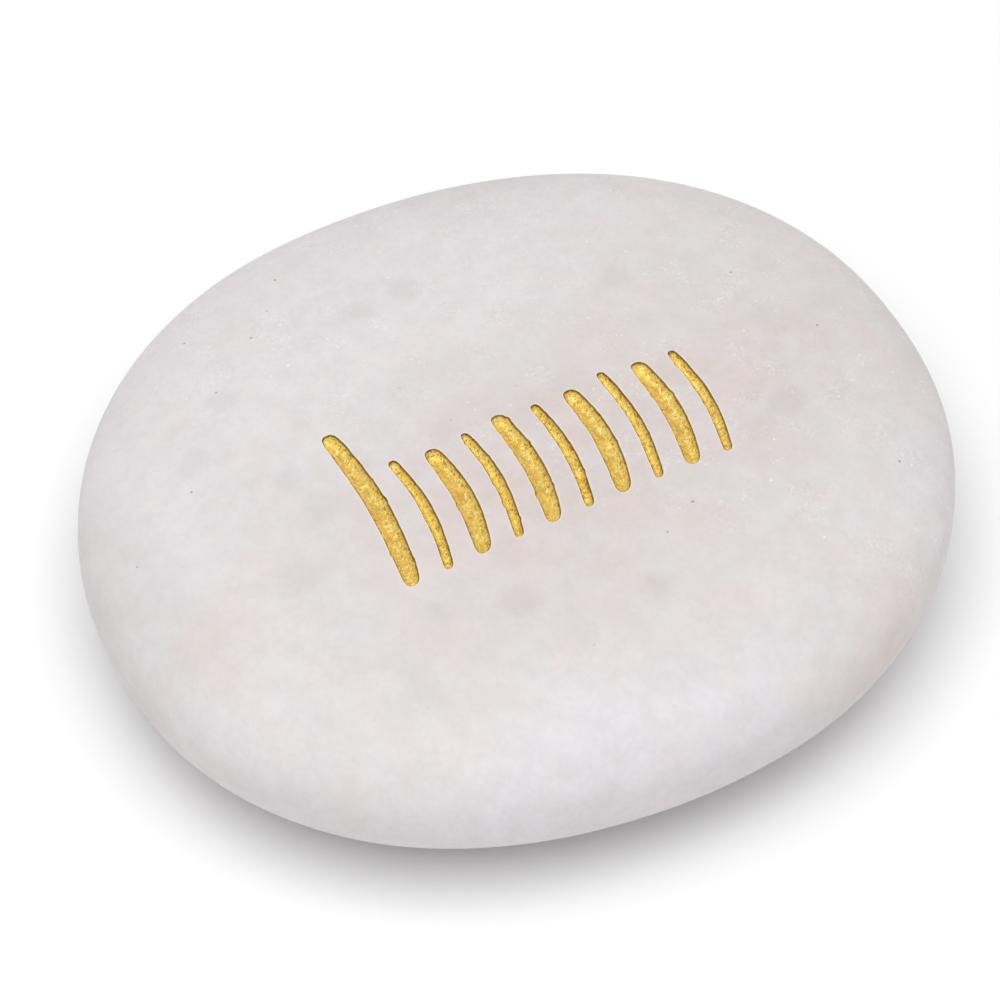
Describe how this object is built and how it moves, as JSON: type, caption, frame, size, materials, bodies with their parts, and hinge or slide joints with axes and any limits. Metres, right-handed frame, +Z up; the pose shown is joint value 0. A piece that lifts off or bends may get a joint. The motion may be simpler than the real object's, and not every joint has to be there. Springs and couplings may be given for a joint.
{
  "type": "engraved worry stone",
  "caption": "Smooth oval marble pebble for the palm, with a row of shallow gilded strokes engraved across its upper face and a small flat spot to lie on.",
  "frame": {"origin": "on the ground under the middle of the stone, at the centre of its flat spot", "axes": "+X along the stone's length, which is also the way the row of strokes runs; +Y the way the strokes stand, from foot to tip; +Z up"},
  "size_m": [0.06, 0.0532, 0.016],
  "materials": {
    "stone": "satin",
    "gold_paint": "satin"
  },
  "bodies": {
    "root": {"stone": "stone"}
  },
  "joints": []
}
